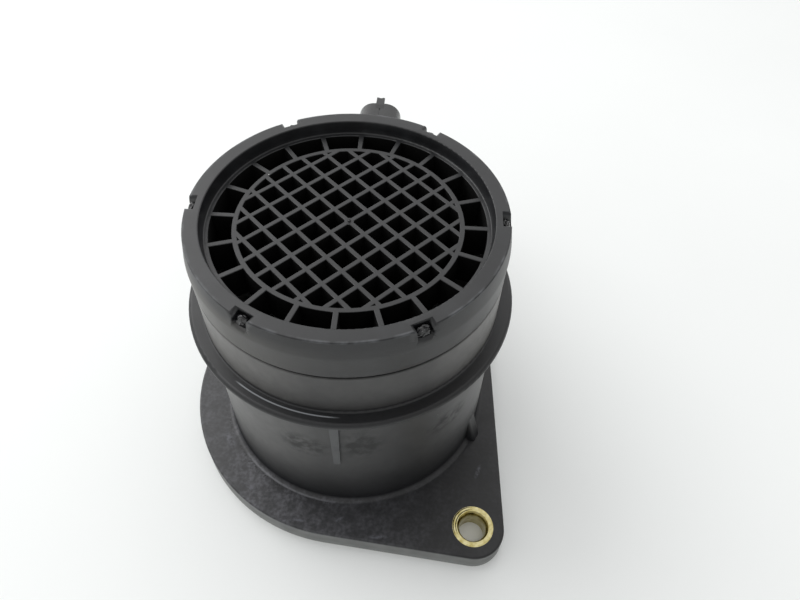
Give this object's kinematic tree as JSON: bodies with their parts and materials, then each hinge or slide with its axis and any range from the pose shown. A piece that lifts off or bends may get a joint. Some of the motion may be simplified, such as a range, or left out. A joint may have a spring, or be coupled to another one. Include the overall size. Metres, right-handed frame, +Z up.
{
  "type": "mass airflow sensor",
  "caption": "Hot-film mass airflow sensor: moulded air duct with mounting flange, brass bushes, grilled inlet ring and a plug-in sensor module with connector socket.",
  "frame": {"origin": "on the mounting face, on the axis of the duct, midway between the two bolt bushes", "axes": "+Z up the duct to the inlet grille, +Y back to the connector socket, +X to the flange's straight side"},
  "size_m": [0.0937, 0.1365, 0.0799],
  "materials": {
    "housing_black": "glass-filled nylon, moulded, scuffed satin black",
    "inlet_black": "glass-filled nylon, moulded, fine satin black",
    "module_black": "glass-filled polyester, moulded, satin black",
    "bush_brass": "turned brass, bright",
    "seal_rubber": "moulded rubber, matt",
    "screw_steel": "zinc plated steel, passivated",
    "plate_aluminium": "stamped aluminium, bare",
    "board_ceramic": "fired alumina, unglazed",
    "chip_epoxy": "moulded epoxy, matt black",
    "capacitor_ceramic": "fired ceramic chip",
    "sensor_silicon": "polished silicon with a thin glass film",
    "bead_glass": "dark glass over a thermistor bead",
    "lead_tin": "tinned wire",
    "pin_tin": "tinned copper alloy, stamped",
    "wire_aluminium": "drawn aluminium wire, bare"
  },
  "bodies": {
    "root": {"housing": "housing_black", "inlet_grille": "inlet_black", "bolt_bush_front": "bush_brass", "bolt_bush_rear": "bush_brass", "flange_seal": "seal_rubber", "module_body": "module_black", "module_seal": "seal_rubber", "module_screw_left": "screw_steel", "module_screw_right": "screw_steel", "electronics_cover": "module_black", "bypass_cover": "module_black", "carrier_plate": "plate_aluminium", "circuit_board": "board_ceramic", "signal_chip": "chip_epoxy", "board_capacitors": "capacitor_ceramic", "sensor_holder": "module_black", "sensing_element": "sensor_silicon", "air_temperature_bead": "bead_glass", "air_temperature_leads": "lead_tin", "bond_wires": "wire_aluminium", "connector_pin_1": "pin_tin", "connector_pin_2": "pin_tin", "connector_pin_3": "pin_tin", "connector_pin_4": "pin_tin", "connector_pin_5": "pin_tin"}
  },
  "joints": []
}
